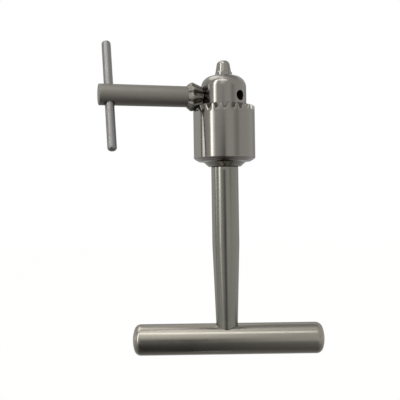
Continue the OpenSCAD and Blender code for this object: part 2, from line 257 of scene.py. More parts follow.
# %% List the panels
RIGHT = [(15, 1.0), (29, 0.97), (38, 0.72), (48, 0.62), (58, 0.9), (118, 1.0), (145, 0.45)]
RIGHT_LOW = [(15, 1.0), (29, 1.0), (38, 0.92), (48, 0.86), (58, 0.95), (118, 1.0), (145, 0.45)]


def left_side(edge, strip, fade=0.5):
    """Pale wall, narrow edge light, grey wall and one bright strip, from behind to the front."""
    return [
        (-180, 0.45), (-155, 0.5), (-142, 0.75), (-123, 1.05), (-100, 1.15), (-98, 0.4), (-91, 0.4),
        (-90, edge * 0.76), (-81, edge), (-79, 0.65), (-74, 0.75), (-55, 1.0), (-53, 1.2),
        (-52, strip), (-46, strip * 0.93), (-44, strip * fade), (-38, 0.6 + strip / 6), (-35, 0.95),
    ]


PANELS = {
    # the dark ground, which the undersides of the cross bar and the chuck show
    -72: [(-180, 0.35), (-90, 0.2), (-20, 0.08), (-6, 0.1), (0, 0.13), (20, 0.2), (90, 0.25),
          (180, 0.35)],
    -45: [(-180, 0.55), (-100, 0.5), (-50, 0.3), (-20, 0.08), (-6, 0.13), (0, 0.16), (10, 0.27),
          (45, 0.4), (100, 0.5), (180, 0.55)],
    -22: [(-180, 0.6), (-100, 0.7), (-60, 0.75), (-28, 0.3), (-12, 0.18), (0, 0.22), (9, 0.4),
          (45, 0.85), (180, 0.6)],
    # the wall at the height of the stem, with a weak strip to its left
    -9: left_side(1.2, 2.2, 0.4)
        + [(-26, 0.8), (-15, 0.5), (-9, 0.3), (-2, 0.22), (2, 0.42), (7, 0.85)] + RIGHT_LOW,
    -1: left_side(1.4, 3.2, 0.4)
        + [(-26, 0.8), (-15, 0.48), (-9, 0.28), (-3, 0.2), (-1, 0.1), (2, 0.42), (7, 0.85)]
        + RIGHT_LOW,
    # the wall at the height of the chuck, with a dark board in front and a strong strip
    3: left_side(3.4, 6.0)
       + [(-26, 0.8), (-15, 0.55), (-7, 0.36), (-3, 0.26), (-1, 0.08), (1, 0.45), (5, 0.85)]
       + RIGHT,
    11: left_side(3.4, 6.0) + [(-18, 0.92), (-5, 0.8), (5, 0.9)] + RIGHT,
    # the slope of the roof, bright in front, which the key and the cross bar show
    24: [(-180, 0.6), (-90, 0.95), (-55, 1.0), (-52, 6.0), (-42, 5.6), (-38, 1.2), (-25, 1.0),
         (-10, 1.55), (0, 1.35), (9, 0.95), (120, 0.9), (180, 0.6)],
    44: [(-180, 0.9), (-55, 0.9), (-52, 6.0), (-42, 5.6), (-38, 1.1), (-25, 1.1), (-12, 2.0),
         (-2, 1.9), (9, 1.05), (60, 0.9), (180, 0.9)],
    # the top of the tent, which the chuck's shoulder and the upper edge of the bar show
    54: [(-180, 0.95), (-160, 1.0), (-154, 2.7), (-90, 2.6), (-75, 1.0), (-25, 1.3), (-12, 2.0),
         (-2, 1.9), (9, 1.1), (60, 0.95), (150, 0.5), (180, 0.5)],
    68: [(-180, 1.0), (-160, 1.0), (-154, 3.0), (-80, 3.0), (-65, 1.3), (-35, 2.0), (-20, 2.4),
         (-3, 1.9), (14, 1.2), (60, 1.0), (150, 0.5), (180, 0.5)],
    84: [(-180, 1.0), (-155, 1.8), (-80, 2.0), (-40, 3.0), (0, 2.2), (90, 1.0), (180, 0.7)],
}
print("heights of the tent in degrees:", list(PANELS))

# %% [markdown]
# ### The tent's paint and cloth
#
# Each height becomes a Color Ramp across U, and the ramps are mixed one over another up V. The
# cloth is a ball above, and below it is a flat ground sheet, so that low reflections meet it where
# a table would be. It is left open high up behind the drill. It shows to reflections alone: the
# camera looks through it, and it neither lights matt surfaces nor casts a shadow.

# %% Paint the tent
BRIGHTEST = 6.0


def across(angle):
    """An angle as a place from 0 to 1 round the tent."""
    return angle / 360 + 0.5


def upwards(lift):
    """A height as a place from 0 at the tent's foot to 1 at its top."""
    return lift / 180 + 0.5


def tent_paint():
    """Mixes one ramp for each height. U runs round the tent and V from its foot to its top."""
    material, tree = new_material("painted_tent")
    place_on_tent = add_node(tree, "ShaderNodeUVMap", {"uv_map": "tent"})
    split = add_node(tree, "ShaderNodeSeparateXYZ", links={0: place_on_tent.outputs[0]})
    paint, below = None, None
    for lift, panels in PANELS.items():
        ramp = add_node(tree, "ShaderNodeValToRGB", links={"Fac": split.outputs["X"]})
        stops = ramp.color_ramp.elements
        stops.remove(stops[-1])
        for i, (angle, bright) in enumerate(panels):
            stop = stops[0] if i == 0 else stops.new(across(angle))
            stop.position = across(angle)
            # a ramp's colours end at one, so the emission below multiplies them up again
            stop.color = (*[bright / BRIGHTEST] * 3, 1)
        if paint is None:
            paint, below = ramp.outputs[0], lift
            continue
        share = add_node(tree, "ShaderNodeMapRange", {"interpolation_type": "SMOOTHSTEP"},
                         links={"Value": split.outputs["Y"]},
                         From_Min=upwards(below), From_Max=upwards(lift))
        mix = add_node(tree, "ShaderNodeMix", {"data_type": "RGBA"},
                       links={0: share.outputs[0], COLOUR_A: paint, COLOUR_B: ramp.outputs[0]})
        paint, below = mix.outputs[MIXED], lift
    glow = add_node(tree, "ShaderNodeEmission", links={"Color": paint}, Strength=BRIGHTEST)
    add_node(tree, "ShaderNodeOutputMaterial", links={"Surface": glow.outputs[0]})
    return material


# %% Hang the tent
TENT_R = 1.1
GROUND_DROP = 0.4
MIDDLE = Vector((0, 0, -68.3 * MM))
CLOTH_STEP = 4
OPEN_ABOVE, OPEN_BEHIND = 30, 172


def towards(angle, lift=0.0):
    """The direction at an angle round the spindle from the camera's side, and up by lift."""
    a, e = math.radians(angle), math.radians(lift)
    return Vector((math.sin(a) * math.cos(e), -math.cos(a) * math.cos(e), math.sin(e)))


def cloth_at(angle, lift):
    """A point of the tent: a ball above, and a flat ground sheet below."""
    reach = TENT_R
    if lift < 0:
        reach = min(TENT_R, GROUND_DROP / math.sin(math.radians(-lift)))
    return MIDDLE + towards(angle, lift) * reach


def hang_tent():
    mesh = bpy.data.meshes.new("tent")
    angles = range(-180, 181, CLOTH_STEP)
    lifts = range(-88, 89, CLOTH_STEP)
    width = len(angles)
    middle = CLOTH_STEP / 2
    faces = []
    for row, lift in enumerate(lifts[:-1]):
        for col, angle in enumerate(angles[:-1]):
            if lift + middle > OPEN_ABOVE and abs(angle + middle) > OPEN_BEHIND:
                continue
            k = row * width + col
            faces.append((k, k + 1, k + 1 + width, k + width))
    mesh.from_pydata([tuple(cloth_at(a, e)) for e in lifts for a in angles], [], faces)
    uv = mesh.uv_layers.new(name="tent")
    for loop in mesh.loops:
        row, col = divmod(loop.vertex_index, width)
        uv.data[loop.index].uv = (across(angles[col]), upwards(lifts[row]))
    mesh.materials.append(tent_paint())
    tent = link_mesh("tent", mesh)
    tent.visible_camera = False
    tent.visible_diffuse = False
    tent.visible_shadow = False
    print("tent:", len(faces), "squares of cloth,", len(PANELS), "heights of paint")


hang_tent()

# %% [markdown]
# ### The soft box
#
# A soft box is a lamp behind a cloth, and an area lamp is just that. It hangs in front, high up
# and a little to the left. It draws the thin bright line along the cross bar and round the chuck's
# shoulder, and lights the matt key from above. Its power is worked out from how bright its face
# should look, because that is what the steel shows.

# %% Hang the soft box
SOFT_BOX_AWAY = 1.0


def soft_box(name, angle, lift, width, height, brightness):
    """A lamp that faces the drill. Its power follows from how bright its face should look."""
    data = bpy.data.lights.new(name, "AREA")
    data.shape = "RECTANGLE"
    data.size, data.size_y = width, height
    data.energy = brightness * math.pi * width * height
    obj = bpy.data.objects.new(name, data)
    way = towards(angle, lift)
    facing = way.to_track_quat("Z", "Y").to_matrix().to_4x4()
    obj.matrix_world = Matrix.Translation(MIDDLE + way * SOFT_BOX_AWAY) @ facing
    bpy.context.scene.collection.objects.link(obj)
    print(f"{name}: {angle} degrees round, {lift} up, {data.energy:.2f} W")


soft_box("soft_box", angle=-14, lift=54.5, width=0.85, height=0.2, brightness=2.2)

# %% [markdown]
# ## Steel finishes
#
# All of the drill is bare steel. Its finishes differ in how they were worked, and one darker steel
# paints in the shade inside the holes. A polished metal is a Principled shader with Metallic at
# one, a grey base colour and a low roughness. Alone that looks like chrome on plastic, so three
# things are laid over it. Turning and polishing leave fine rings round the axis: a noise that is
# squeezed along the axis and stretched across it, which shifts both the tone and the surface.
# Handling leaves smudges a few millimetres wide, which are a noise in the roughness. Blasting
# leaves dimples, which are a finer noise in the bump.
#
# One function builds them all, so a finish is one line of numbers in millimetres.

# %% Steel with a worked surface
STREAKS_PER_M = 18.0
SMUDGE_MM = 9
TONE = 0.06


def steel(name, colour, roughness, rings_mm, ring_axis, ring_depth, smudge=0.05,
          grain_mm=0.0, grain_depth=0.0):
    """Bare steel. Rings are rings_mm apart along ring_axis, and dimples are grain_mm wide."""
    material, tree = new_material(name)
    here = add_node(tree, "ShaderNodeTexCoord").outputs["Object"]
    stretch = [STREAKS_PER_M] * 3
    stretch["XYZ".index(ring_axis)] = 1 / (rings_mm * MM)
    squeezed = add_node(tree, "ShaderNodeMapping", links={"Vector": here}, Scale=stretch)
    rings = add_node(tree, "ShaderNodeTexNoise", links={"Vector": squeezed.outputs[0]},
                     Scale=1.0, Detail=3.0, Roughness=0.6)
    tone = add_node(tree, "ShaderNodeMix", {"data_type": "RGBA"}, links={0: rings.outputs[0]})
    base = linear(colour)[:3]
    tone.inputs[COLOUR_A].default_value = [c * (1 - TONE) for c in base] + [1]
    tone.inputs[COLOUR_B].default_value = [min(1, c * (1 + TONE)) for c in base] + [1]
    smudges = add_node(tree, "ShaderNodeTexNoise", links={"Vector": here},
                       Scale=1 / (SMUDGE_MM * MM), Detail=3.0, Roughness=0.55)
    rough = add_node(tree, "ShaderNodeMapRange", links={"Value": smudges.outputs[0]},
                     From_Min=0.3, From_Max=0.7,
                     To_Min=roughness - smudge, To_Max=roughness + smudge)
    bump = add_node(tree, "ShaderNodeBump", links={"Height": rings.outputs[0]},
                    Strength=1.0, Distance=ring_depth * MM)
    if grain_depth:
        grain = add_node(tree, "ShaderNodeTexNoise", links={"Vector": here},
                         Scale=1 / (grain_mm * MM), Detail=2.0, Roughness=0.5)
        bump = add_node(tree, "ShaderNodeBump",
                        links={"Height": grain.outputs[0], "Normal": bump.outputs[0]},
                        Strength=1.0, Distance=grain_depth * MM)
    shader = add_node(tree, "ShaderNodeBsdfPrincipled", Metallic=1.0,
                      links={"Base Color": tone.outputs[MIXED], "Roughness": rough.outputs[0],
                             "Normal": bump.outputs[0]})
    add_node(tree, "ShaderNodeOutputMaterial", links={"Surface": shader.outputs[0]})
    print(f"{name}: roughness {roughness}, rings {rings_mm} mm apart")
    return material


# %% The finishes of this drill
# A pixel of the render is half a millimetre wide, so every pattern below is drawn coarser than
# the real one, at about that size. The comments give the real sizes.

# Turned and then buffed on a mop: the eye sees sharp stripes of light, dark between them. The
# real buffing lines are about 0.05 mm apart.
POLISHED = steel("polished_chuck_steel", "#7f7c76", 0.12, 0.5, "Z", 0.0015, smudge=0.03)

# Ground round: as bright as the chuck, with softer edges to each light. The real grinding lines
# are about 0.1 mm apart.
JAW_STEEL = steel("ground_jaw_steel", "#85827c", 0.15, 0.4, "Z", 0.002)

# Belt-polished along its flats: a grey that is a little greener than the chuck, with narrow
# lights that fade at their sides. The real belt lines are about 0.1 mm apart.
STEM_STEEL = steel("polished_stem_steel", "#787870", 0.17, 0.5, "Z", 0.002, smudge=0.04)

# Turned between centres and brushed to a satin: broad bands of light along the bar, warmer in
# colour. The real brush lines go round the bar, about 0.15 mm apart.
BAR_STEEL = steel("satin_bar_steel", "#8a867d", 0.2, 0.45, "X", 0.002)

# Blasted with glass beads: an even grey that fades from light to dark and mirrors nothing. The
# real dimples are about 0.15 mm wide.
KEY_STEEL = steel("blasted_key_steel", "#78756e", 0.5, 0.6, "Z", 0.002,
                  grain_mm=0.5, grain_depth=0.02)

# Cold-drawn rod, left as the die made it: cooler and smoother than the blasted shank, with one
# soft light down its side. Its real pits are about 0.1 mm wide.
TOMMY_STEEL = steel("drawn_tommy_steel", "#7b7a78", 0.4, 0.6, "Z", 0.002,
                    grain_mm=0.4, grain_depth=0.01)

# Painted shade: a darker steel for the insides of the holes and for the pilot and the nut that sit
# inside, so that they look dull and deep. The real turning marks are about 0.1 mm apart.
PAINTED_SHADE_STEEL = steel("painted_shade_inner_steel", "#5c5851", 0.4, 0.5, "Z", 0.003)

# %% [markdown]
# ## Outlines with rounded edges
#
# A real edge is never sharp: it catches a thin line of light. A Bevel modifier could round it, but
# its width depends on the mesh round each edge. So each outline is a short list of corners with
# the radius of its rounding, and one function turns the corners to arcs.

# %% Round the corners of an outline
ARC_EASE = 0.17


def side_for_arc(neighbour, length):
    """How much of a side an arc may use: half of it where the next corner is rounded as well."""
    return (0.49 if neighbour[2] else 0.98) * length


def rounded(corners, steps=5):
    """Corner points (r, z, rounding) in metres, as a list of points with arcs at the corners."""
    points = []
    for i, (r, z, rounding) in enumerate(corners):
        here = Vector((r, z))
        if not rounding or i in (0, len(corners) - 1):
            points.append(here)
            continue
        back = Vector(corners[i - 1][:2]) - here
        on = Vector(corners[i + 1][:2]) - here
        reach = min(rounding / math.tan(back.angle(on) / 2),
                    side_for_arc(corners[i - 1], back.length),
                    side_for_arc(corners[i + 1], on.length))
        start, end = here + back.normalized() * reach, here + on.normalized() * reach
        for k in range(steps + 1):
            t = k / steps
            bow = (1 - t) ** 2 * start + 2 * t * (1 - t) * here + t * t * end
            # a quadratic curve is a little fuller than an arc, so it is eased towards the chord
            points.append(bow.lerp(start.lerp(end, t), ARC_EASE))
    return points


square = rounded([(0, 0, 0), (1, 0, 0.2), (1, 1, 0)])
print("one rounded corner has", len(square) - 2, "points")

# %% [markdown]
# A lathe piece and a loft are both a stack of rings of points with a skin between them, so one
# function bridges rings, and a turned piece is rings that are circles. Screw or Spin would turn an
# outline too, but they leave the poles open and can't change the shape of a ring on the way.

# %% Bridge rings into a skin
def shade_smooth(mesh):
    mesh.polygons.foreach_set("use_smooth", [True] * len(mesh.polygons))


def skin(name, rings, material, closed=True):
    """Bridges rings of points. A ring of one point is a pole."""
    bm = bmesh.new()
    rows = [[bm.verts.new(p) for p in ring] for ring in rings]
    for a, b in zip(rows, rows[1:]):
        n = max(len(a), len(b))
        for i in range(n if closed else n - 1):
            j = (i + 1) % n
            corners = [a[i % len(a)], a[j % len(a)], b[j % len(b)], b[i % len(b)]]
            unique = list(dict.fromkeys(corners))
            if len(unique) > 2:
                bm.faces.new(unique)
    if closed:
        bmesh.ops.recalc_face_normals(bm, faces=bm.faces)
    mesh = bpy.data.meshes.new(name)
    bm.to_mesh(mesh)
    bm.free()
    mesh.materials.append(material)
    shade_smooth(mesh)
    return link_mesh(name, mesh)


def turns(count):
    """The angles of count equal steps round a circle."""
    return [2 * math.pi * k / count for k in range(count)]


def ring_of(r, z, segments):
    if r < 1e-7:
        return [Vector((0, 0, z))]
    return [Vector((r * math.cos(a), r * math.sin(a), z)) for a in turns(segments)]


def turned(name, outline, material, segments=192):
    """A solid turned about +Z from an outline that starts and ends on the axis."""
    return skin(name, [ring_of(p.x, p.y, segments) for p in outline], material)


def place(obj, matrix):
    """Moves a piece by its mesh, so that its object stays at the origin."""
    obj.data.transform(matrix)
    return obj


# %% Hand a piece to the frame
def finish_piece(obj, body, slot, *nodes):
    """Evens out the shading over rounded edges, then hands the piece to the frame."""
    weighted = obj.modifiers.new("even_shading", "WEIGHTED_NORMAL")
    weighted.keep_sharp = True
    # large faces count for most, so flats stay flat beside their rounded edges
    weighted.weight = 80
    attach(obj, body)
    if nodes:
        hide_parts(*nodes)
    print(f"{obj.name}: {len(obj.data.polygons)} faces, rides on {body}")


# %% [markdown]
# ## The cross bar
#
# The handle is a round rod with crowned ends that are kind to the palm. Its outline is one flat
# arc for the crown, one tight arc for the edge, and a straight side. The tight arc touches both,
# so the light runs over the end without a break, which a plain bevel wouldn't give. The bar is
# turned about its own axis and then laid along X.

# %% Turn the cross bar
CROWN_R = 16 * MM
BAR_EDGE_R = 3.4 * MM
CROWN_STEPS, EDGE_STEPS = 14, 10


def bar_outline():
    half = (BAR_RIGHT - BAR_LEFT) / 2
    edge_r = BAR_R - BAR_EDGE_R
    crown_at = half - CROWN_R
    edge_at = crown_at + math.sqrt((CROWN_R - BAR_EDGE_R) ** 2 - edge_r**2)
    meet = math.asin(edge_r / (CROWN_R - BAR_EDGE_R))
    end = []
    for k in range(CROWN_STEPS + 1):
        turn = meet * k / CROWN_STEPS
        end.append(Vector((CROWN_R * math.sin(turn), crown_at + CROWN_R * math.cos(turn))))
    for k in range(1, EDGE_STEPS + 1):
        turn = meet + (math.pi / 2 - meet) * k / EDGE_STEPS
        end.append(Vector((edge_r + BAR_EDGE_R * math.sin(turn),
                           edge_at + BAR_EDGE_R * math.cos(turn))))
    end.append(Vector((BAR_R, edge_at - 1 * MM)))
    return end + [Vector((p.x, -p.y)) for p in reversed(end)]


bar = turned("cross_bar", bar_outline(), BAR_STEEL)
place(bar, Matrix.Translation((BAR_X, 0, BAR_Z)) @ Matrix.Rotation(math.radians(90), 4, "Y"))
finish_piece(bar, "handle", "satin_bar", "t_bar")

# %% [markdown]
# ## The stem
#
# The stem leaves the chuck round, and lower down six flats are ground on it that run in towards
# the bar. It could be a cylinder with six wedges cut off, but a belt grinder leaves soft ridges.
# So each ring of points is worked out: a hexagon with rounded ridges, cut back to the round of the
# shaft. Further down the hexagon shrinks and its ridges get tighter, and the flats grow from
# nothing as they do on the real stem.

# %% The stem's outline at each height
FLATS_Z = -90 * MM
FOOT_HALF = 5.3 * MM
RIDGE_TOP, RIDGE_FOOT = 6.6 * MM, 4.1 * MM


def stem_radius(angle, z):
    """A hexagon with rounded ridges, cut back to the round of the shaft."""
    fall = max(0.0, (FLATS_Z - z) / (FLATS_Z - BAR_TOP))
    if fall <= 0:
        return STEM_R
    flat = STEM_R - (STEM_R - FOOT_HALF) * fall
    ridge = RIDGE_TOP + (RIDGE_FOOT - RIDGE_TOP) * fall
    sixth = math.pi / 6
    off = abs((angle + sixth) % (2 * sixth) - sixth)
    if flat * math.tan(off) <= (flat - ridge) * math.tan(sixth):
        return min(STEM_R, flat / math.cos(off))
    centre = (flat - ridge) / math.cos(sixth)
    turn = sixth - off
    rounding = math.sqrt(ridge**2 - (centre * math.sin(turn)) ** 2)
    return min(STEM_R, centre * math.cos(turn) + rounding)


print(f"at its foot the stem is {2 * stem_radius(0, BAR_TOP) / MM:.1f} mm across its flats")

# %% [markdown]
# Where the stem meets the bar, the flats run on down and end in a saddle on the bar's round
# surface. The last rings are lowered step by step to that saddle, so no cut is needed, and the
# last one sinks a tenth of a millimetre into the bar, which closes the joint.

# %% Shape the stem
STEM_STEPS = 180
STEM_EDGE = 0.3 * MM
SHAFT_LEVELS, FOOT_LEVELS = 60, 8
SHAFT_START = BODY_FOOT - 1 * MM
FOOT_START = BAR_TOP + 2.0 * MM
SUNK = 0.1 * MM


def saddle_z(y):
    """The height of the bar's surface at y, less what the stem sinks into it."""
    return BAR_Z + math.sqrt(max(0.0, (BAR_R - SUNK) ** 2 - y * y))


def stem_rings():
    rings = [
        [Vector((0, 0, BODY_FOOT))],
        ring_of(STEM_R - STEM_EDGE, BODY_FOOT, STEM_STEPS),
        ring_of(STEM_R, BODY_FOOT - STEM_EDGE, STEM_STEPS),
    ]
    angles = turns(STEM_STEPS)
    for k in range(1, SHAFT_LEVELS + 1):
        z = SHAFT_START + (FOOT_START - SHAFT_START) * k / SHAFT_LEVELS
        radii = [stem_radius(a, z) for a in angles]
        rings.append([Vector((r * math.cos(a), r * math.sin(a), z)) for a, r in zip(angles, radii)])
    for k in range(1, FOOT_LEVELS + 1):
        ring = []
        for a in angles:
            r = stem_radius(a, FOOT_START + (BAR_TOP - FOOT_START) * k / FOOT_LEVELS)
            x, y = r * math.cos(a), r * math.sin(a)
            ring.append(Vector((x, y, FOOT_START + (saddle_z(y) - FOOT_START) * k / FOOT_LEVELS)))
        rings.append(ring)
    rings.append([Vector((0, 0, BAR_TOP - 1 * MM))])
    return rings


stem = skin("stem_shaft", stem_rings(), STEM_STEEL)
finish_piece(stem, "handle", "ground_stem", "stem")

# %% [markdown]
# ## Copies round an axis
#
# The sleeve has 24 equal teeth and the key's pinion has nine. An Array modifier turned about an
# empty would copy a tooth, but a Geometry Nodes tree keeps it in one place: a line of points, an
# instance of the tooth on each, turned by its number. Realize Instances makes them real, and Merge
# by Distance welds the seams between neighbours.

# %% A Geometry Nodes tree that sets copies round an axis
def copies_tree(material):
    """The tree, with the identifiers of its two sizes."""
    tree = bpy.data.node_groups.new("copies_round_axis", "GeometryNodeTree")
    tree.interface.new_socket("Sector", in_out="INPUT", socket_type="NodeSocketGeometry")
    copies = tree.interface.new_socket("Copies", in_out="INPUT", socket_type="NodeSocketInt")
    weld = tree.interface.new_socket("Weld distance", in_out="INPUT", socket_type="NodeSocketFloat")
    tree.interface.new_socket("Ring", in_out="OUTPUT", socket_type="NodeSocketGeometry")
    given = add_node(tree, "NodeGroupInput")
    points = add_node(tree, "GeometryNodeMeshLine", links={"Count": given.outputs["Copies"]},
                      Offset=(0, 0, 0))
    index = add_node(tree, "GeometryNodeInputIndex")
    step = add_node(tree, "ShaderNodeMath", {"operation": "DIVIDE"},
                    links={1: given.outputs["Copies"]})
    step.inputs[0].default_value = 2 * math.pi
    turn = add_node(tree, "ShaderNodeMath", {"operation": "MULTIPLY"},
                    links={0: index.outputs[0], 1: step.outputs[0]})
    about = add_node(tree, "ShaderNodeCombineXYZ", links={"Z": turn.outputs[0]})
    spread = add_node(tree, "GeometryNodeInstanceOnPoints",
                      links={"Points": points.outputs[0], "Instance": given.outputs["Sector"],
                             "Rotation": about.outputs[0]})
    real = add_node(tree, "GeometryNodeRealizeInstances", links={"Geometry": spread.outputs[0]})
    merged = add_node(tree, "GeometryNodeMergeByDistance",
                      links={"Geometry": real.outputs[0],
                             "Distance": given.outputs["Weld distance"]})
    painted = add_node(tree, "GeometryNodeSetMaterial", links={"Geometry": merged.outputs[0]},
                       Material=material)
    add_node(tree, "NodeGroupOutput", links={"Ring": painted.outputs[0]})
    return tree, copies.identifier, weld.identifier


# %% Copy a sector and bake the result
WELD = 0.002 * MM


def baked_mesh(obj):
    """The piece's mesh with its modifiers applied. The modifiers are removed."""
    graph = bpy.context.evaluated_depsgraph_get()
    baked = bpy.data.meshes.new_from_object(obj.evaluated_get(graph))
    obj.modifiers.clear()
    obj.data = baked
    return baked


def copies_round_axis(obj, count, material):
    """Joins count copies of a piece's one sector round +Z, and bakes the result into its mesh."""
    tree, copies, weld = copies_tree(material)
    modifier = obj.modifiers.new("copies", "NODES")
    modifier.node_group = tree
    modifier[copies] = count
    modifier[weld] = WELD
    baked = baked_mesh(obj)
    bm = bmesh.new()
    bm.from_mesh(baked)
    bmesh.ops.recalc_face_normals(bm, faces=bm.faces)
    bm.to_mesh(baked)
    bm.free()
    shade_smooth(baked)
    print(f"{obj.name}: {count} copies of one sector")


# %% [markdown]
# ## The sleeve and its teeth
#
# The sleeve is what the key turns, by bevel teeth on its rim. The teeth could be cut out of a
# turned blank, but so many cuts leave ragged shading on a mirror finish. All their sides lie on
# planes through the point where the key's axis meets the spindle. So the height of the rim is the
# distance from the axis times a slope that depends on the angle alone, and no cut is needed.

# %% The slope of the rim at each angle
RING_TEETH = 24
PINION_TEETH = 9
PITCH_SLOPE = math.atan(PINION_TEETH / RING_TEETH)
TIP_SLOPE = math.radians(17)
ROOT_SLOPE = math.radians(25)
FLANK = math.radians(26)
SPACE_HALF = math.radians(4.2) * math.cos(PITCH_SLOPE)
CORNER = 0.006


def flank_slope(angle):
    """Rise over radius of a space's side, at an angle from the middle of the space."""
    tilt = Matrix.Rotation(PITCH_SLOPE, 3, "Y") @ Matrix.Rotation(SPACE_HALF, 3, "Z")
    n = tilt @ Matrix.Rotation(-FLANK, 3, "X") @ Vector((0, 1, 0))
    return -(n.x * math.cos(angle) + n.y * math.sin(angle)) / n.z


def corner(a, b):
    """How far a corner between two slopes is rounded off. It is nothing where they lie apart."""
    return CORNER * math.exp(-abs(a - b) / CORNER) * 0.5


def rim_slope(angle):
    """Rise over radius of the rim, from the middle of a space to the middle of a tooth."""
    a = abs(angle)
    floor_slope = -math.tan(ROOT_SLOPE) * math.cos(a)
    side = flank_slope(a)
    # both corners are rounded off a little, as a cutter and a polishing mop leave them
    low = max(floor_slope, side) + corner(floor_slope, side)
    top = -math.tan(TIP_SLOPE)
    return min(top, low) - corner(top, low)


TOOTH_HIGH = (rim_slope(math.pi / RING_TEETH) - rim_slope(0)) * SLEEVE_R
print(f"a tooth stands {TOOTH_HIGH / MM:.2f} mm high at the sleeve's side")

# %% [markdown]
# One tooth and its share of the sleeve is a grid. Its rows start in the bore, climb to the toothed
# rim and over its small bevel, run down the plain side, and come back under the chamfered foot.

# %% Build the sleeve from one sector
ACROSS_TOOTH = 44
RIM_ROWS, BEVEL_ROWS = 6, 5
WEB_R = 11.18 * MM
NUT_R = 13.9 * MM
NUT_TOP = -26.7 * MM
TEETH_FOOT = -26.6 * MM
SIDE_RING = -29 * MM
BORE_EDGE = 0.15 * MM
RIM_BEVEL = 0.45 * MM
FOOT_EDGE = 0.25 * MM
BACK_SLOPE = math.tan(math.radians(34))


def sleeve_sector():
    half = math.pi / RING_TEETH
    angles = [-half + 2 * half * k / ACROSS_TOOTH for k in range(ACROSS_TOOTH + 1)]

    def level(r, z):
        return [Vector((r * math.cos(a), r * math.sin(a), z)) for a in angles]

    def on_rim(r, drop=0.0, sloped_to=None):
        """A row that follows the teeth, at the height that they have at sloped_to."""
        at = r if sloped_to is None else sloped_to
        return [Vector((r * math.cos(a), r * math.sin(a), KEY_Z + at * rim_slope(a) - drop))
                for a in angles]

    rim_r = SLEEVE_R - RIM_BEVEL
    side_foot = SLEEVE_FOOT + (SLEEVE_R - NUT_R) * BACK_SLOPE
    rows = [level(NUT_R, SLEEVE_FOOT + 0.02 * MM), level(NUT_R, NUT_TOP), level(WEB_R, NUT_TOP)]
    rows += [on_rim(WEB_R, BORE_EDGE), on_rim(WEB_R + BORE_EDGE)]
    rows += [on_rim(WEB_R + (rim_r - WEB_R) * k / RIM_ROWS) for k in range(1, RIM_ROWS + 1)]
    for k in range(1, BEVEL_ROWS + 1):
        t = k / BEVEL_ROWS * math.pi / 2
        rows.append(on_rim(rim_r + RIM_BEVEL * math.sin(t), RIM_BEVEL * (1 - math.cos(t)), rim_r))
    rows += [level(SLEEVE_R, TEETH_FOOT), level(SLEEVE_R, SIDE_RING)]
    # the edge above the chamfer is rounded in four rows, and the last row closes the bore
    rows += [level(SLEEVE_R, side_foot + 2 * FOOT_EDGE), level(SLEEVE_R, side_foot + FOOT_EDGE)]
    rows.append(level(SLEEVE_R - 0.06 * MM, side_foot + 0.3 * FOOT_EDGE))
    rows.append(level(SLEEVE_R - FOOT_EDGE, side_foot - FOOT_EDGE * BACK_SLOPE))
    rows.append(level(NUT_R + 0.1 * MM, SLEEVE_FOOT + 0.04 * MM))
    rows.append(rows[0])
    return rows


sleeve = skin("sleeve", sleeve_sector(), POLISHED, closed=False)
copies_round_axis(sleeve, RING_TEETH, POLISHED)
place(sleeve, Matrix.Rotation(KEY_ANGLE, 4, "Z"))
finish_piece(sleeve, "sleeve", "polished_chuck", "chuck_sleeve")

# %% [markdown]
# ## The chuck's body
#
# The body is one turning: a nose with a well rounded shoulder, a groove where the nut sits, and a
# cone at the back that goes on from the sleeve's. The frame's own mesh has this shape, but its
# edges are sharp and its facets would show in a polish. So it is turned again: the front is an
# arc, and the rest is a list of corners.

# %% The body's outline
BODY_R = 11.1 * MM
SHOULDER = 5.6 * MM
GROOVE_R = 9.4 * MM
GROOVE_FOOT = -32.2 * MM
BACK_R, FACE_R, RECESS_R, FOOT_R = 12.8 * MM, 10.2 * MM, 9.85 * MM, 7.9 * MM
FACE_SLOPE = math.tan(math.radians(9))


def back_z(r):
    """The height of the cone at the body's back, which stands 0.06 mm above the sleeve's."""
    return SLEEVE_FOOT + 0.06 * MM + (r - NUT_R) * BACK_SLOPE


def body_outline():
    shoulder_z = NOSE_Z - SHOULDER
    arc = [Vector((BODY_R - SHOULDER + SHOULDER * math.sin(math.radians(a)),
                   shoulder_z + SHOULDER * math.cos(math.radians(a)))) for a in range(0, 91, 5)]
    face_z = back_z(BACK_R) - (BACK_R - FACE_R) * FACE_SLOPE
    lower = rounded([
        (BODY_R, shoulder_z - 1 * MM, 0),
        (BODY_R, TEETH_FOOT, 0.1 * MM),
        (GROOVE_R, TEETH_FOOT, 0),
        (GROOVE_R, GROOVE_FOOT, 0),
        (FLANGE_R, GROOVE_FOOT, 0.1 * MM),
        (FLANGE_R, back_z(FLANGE_R), 0.12 * MM),
        (BACK_R, back_z(BACK_R), 0.3 * MM),
        (FACE_R, face_z, 0.2 * MM),
        (RECESS_R, face_z - 0.35 * MM, 0.2 * MM),
        (FOOT_R, BODY_FOOT, 0.3 * MM),
        (0, BODY_FOOT, 0),
    ])
    return [Vector((0, NOSE_Z))] + arc + lower


print("the body's outline has", len(body_outline()), "points")

# %% [markdown]
# Its holes are the only cuts in the chuck: three for the key, three leaning ones for the jaws and
# one down the middle. A Boolean does them best, because the jaw holes run into each other. Cut
# edges are sharp, though, and a key hole's rim is rounded all the way round. So the key hole's
# cutter flares along the body's curved side, and the flare leaves the rounding. Each cutter brings
# its own steel: the depths get a darker steel, which paints in the shade inside the holes, and the
# rim is polished with the body.

# %% The cutter for a key hole
KEY_HOLE_R = 2.4 * MM
KEY_HOLE_RIM = 0.3 * MM
KEY_HOLE_FLOOR = 5.6 * MM
HOLE_STEPS, RIM_STEPS = 64, 6
OUTSIDE = BODY_R + 1 * MM


